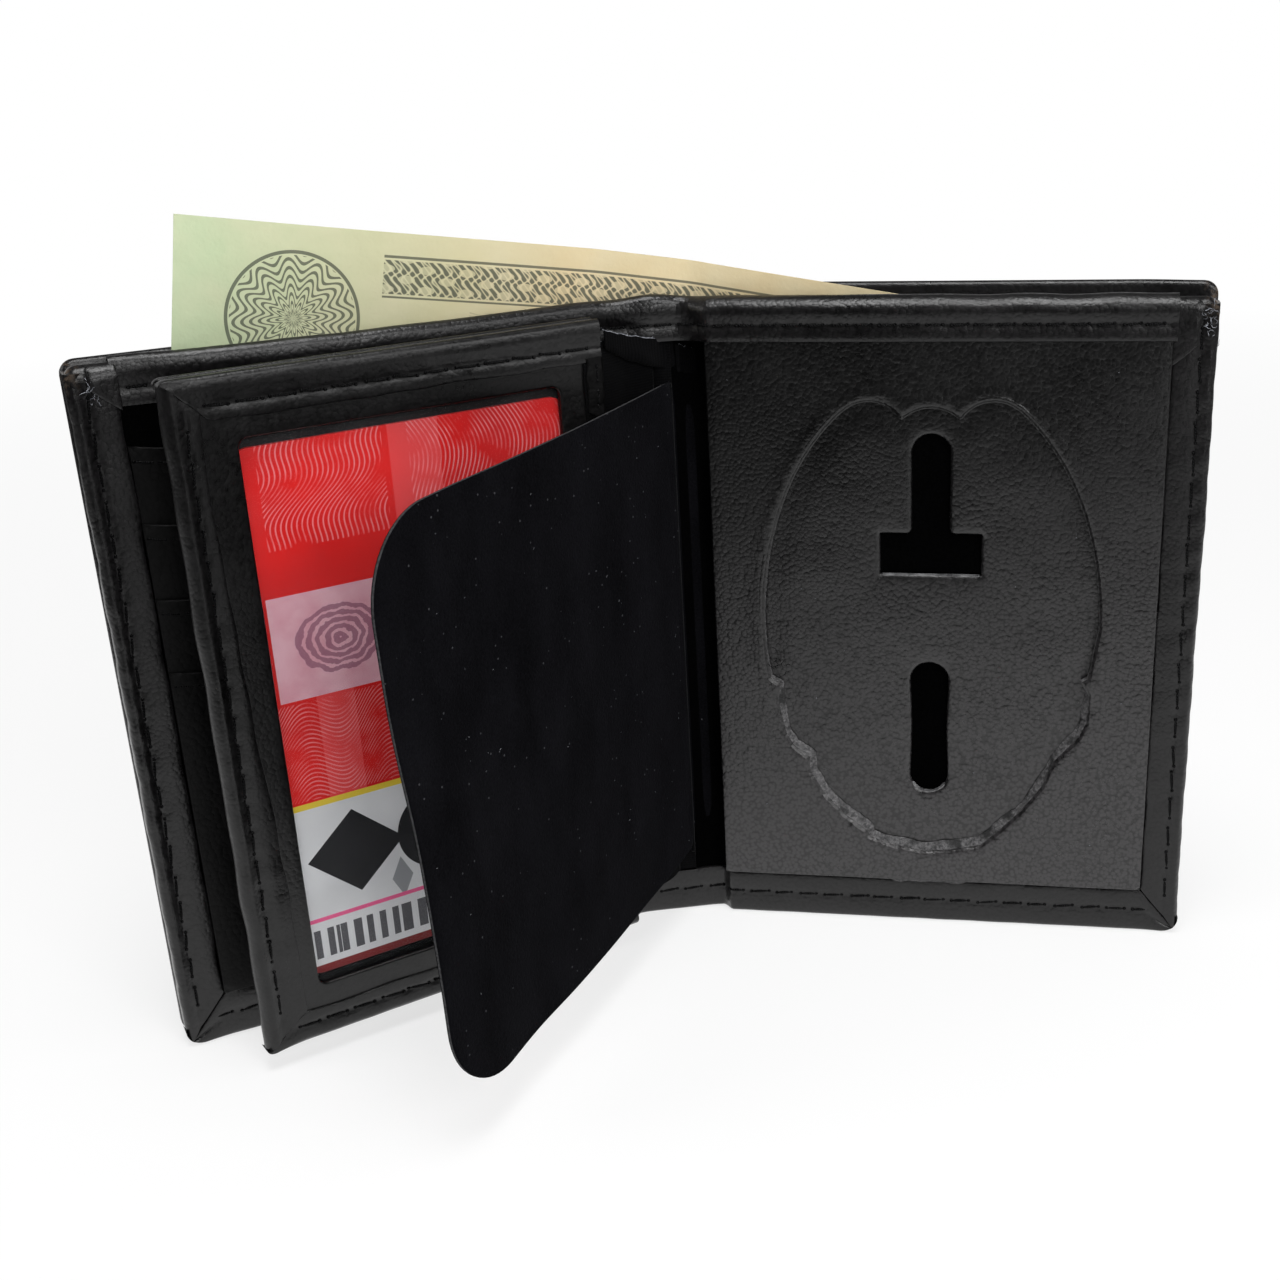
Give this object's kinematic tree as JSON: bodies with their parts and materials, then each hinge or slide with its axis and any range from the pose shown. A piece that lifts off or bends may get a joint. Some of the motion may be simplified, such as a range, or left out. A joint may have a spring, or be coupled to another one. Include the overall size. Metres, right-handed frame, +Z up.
{
  "type": "id badge wallet",
  "caption": "Bifold badge wallet, standing open, with a slotted badge bed, a card half, a windowed id leaf on a ribbon and a suede flap. It folds shut and its card slides out.",
  "frame": {"origin": "middle of the bounding box, on the ground that the open wallet stands on", "axes": "+Z up, -Y out of the badge half's face, +X from the spine to the badge half's free edge"},
  "size_m": [0.1642, 0.0808, 0.1302],
  "materials": {
    "pebbled_leather": "satin, fine pebbled grain",
    "smooth_leather": "satin",
    "lining": "matte",
    "suede": "napped",
    "ribbon": "ribbed",
    "clear_window": "clear, glossy",
    "card": "glossy",
    "note": "matte"
  },
  "bodies": {
    "badge_half": {"cover_badge": "pebbled_leather", "liner_badge": "lining", "badge_board": "smooth_leather", "badge_panel": "smooth_leather", "hem_badge": "pebbled_leather", "side_binding_badge": "pebbled_leather", "bottom_binding_badge": "pebbled_leather", "corner_tab_badge": "pebbled_leather", "note_badge": "note"},
    "spine": {"cover_spine": "pebbled_leather", "liner_spine": "lining", "hem_spine": "pebbled_leather", "bottom_binding_spine": "pebbled_leather", "hinge_tape": "ribbon", "note_spine": "note"},
    "card_half": {"cover_card": "pebbled_leather", "liner_card": "lining", "slot_backing": "smooth_leather", "card_slot_1": "smooth_leather", "card_slot_2": "smooth_leather", "card_slot_3": "smooth_leather", "card_slot_4": "smooth_leather", "hem_card": "pebbled_leather", "side_binding_card": "pebbled_leather", "bottom_binding_card": "pebbled_leather", "corner_tab_card": "pebbled_leather", "note_card": "note"},
    "ribbon": {"ribbon": "ribbon"},
    "id_leaf": {"leaf_back": "smooth_leather", "leaf_spacer": "lining", "leaf_pane": "clear_window", "leaf_frame": "smooth_leather", "leaf_side_binding": "smooth_leather", "leaf_top_binding": "smooth_leather", "leaf_bottom_binding": "smooth_leather", "leaf_edge_tape": "ribbon"},
    "id_card": {"id_card": "card"},
    "flap": {"flap": "suede"}
  },
  "joints": [
    {"name": "fold", "type": "hinge", "parent": "badge_half", "child": "spine", "pos_m": [-0.00009, 0.03863, 0.0555], "axis": [0, 0, 1], "range_deg": [-18.27, 71.2]},
    {"name": "card_fold", "type": "hinge", "parent": "spine", "child": "card_half", "pos_m": [-0.015, 0.03371, 0.0555], "axis": [0, 0, 1], "range_deg": [-18.27, 71.2]},
    {"name": "flap_hinge", "type": "hinge", "parent": "spine", "child": "flap", "pos_m": [-0.00445, 0.03445, 0.0555], "axis": [0, 0, 1], "range_deg": [-8.89, 34.62]},
    {"name": "ribbon_hinge", "type": "hinge", "parent": "spine", "child": "ribbon", "pos_m": [-0.0073, 0.03351, 0.0555], "axis": [0, 0, 1], "range_deg": [-13.06, 50.9]},
    {"name": "leaf_hinge", "type": "hinge", "parent": "ribbon", "child": "id_leaf", "pos_m": [-0.01329, 0.02428, 0.0555], "axis": [0, 0, 1], "range_deg": [-3.57, 13.9]},
    {"name": "card_slide", "type": "slide", "parent": "id_leaf", "child": "id_card", "axis": [0, 0, 1], "range_m": [0, 0.07]}
  ],
  "couplings": [
    {"joint": "card_fold", "follows": "fold", "ratio": 1},
    {"joint": "flap_hinge", "follows": "fold", "ratio": 0.48613},
    {"joint": "ribbon_hinge", "follows": "fold", "ratio": 0.71476},
    {"joint": "leaf_hinge", "follows": "fold", "ratio": 0.19518}
  ]
}
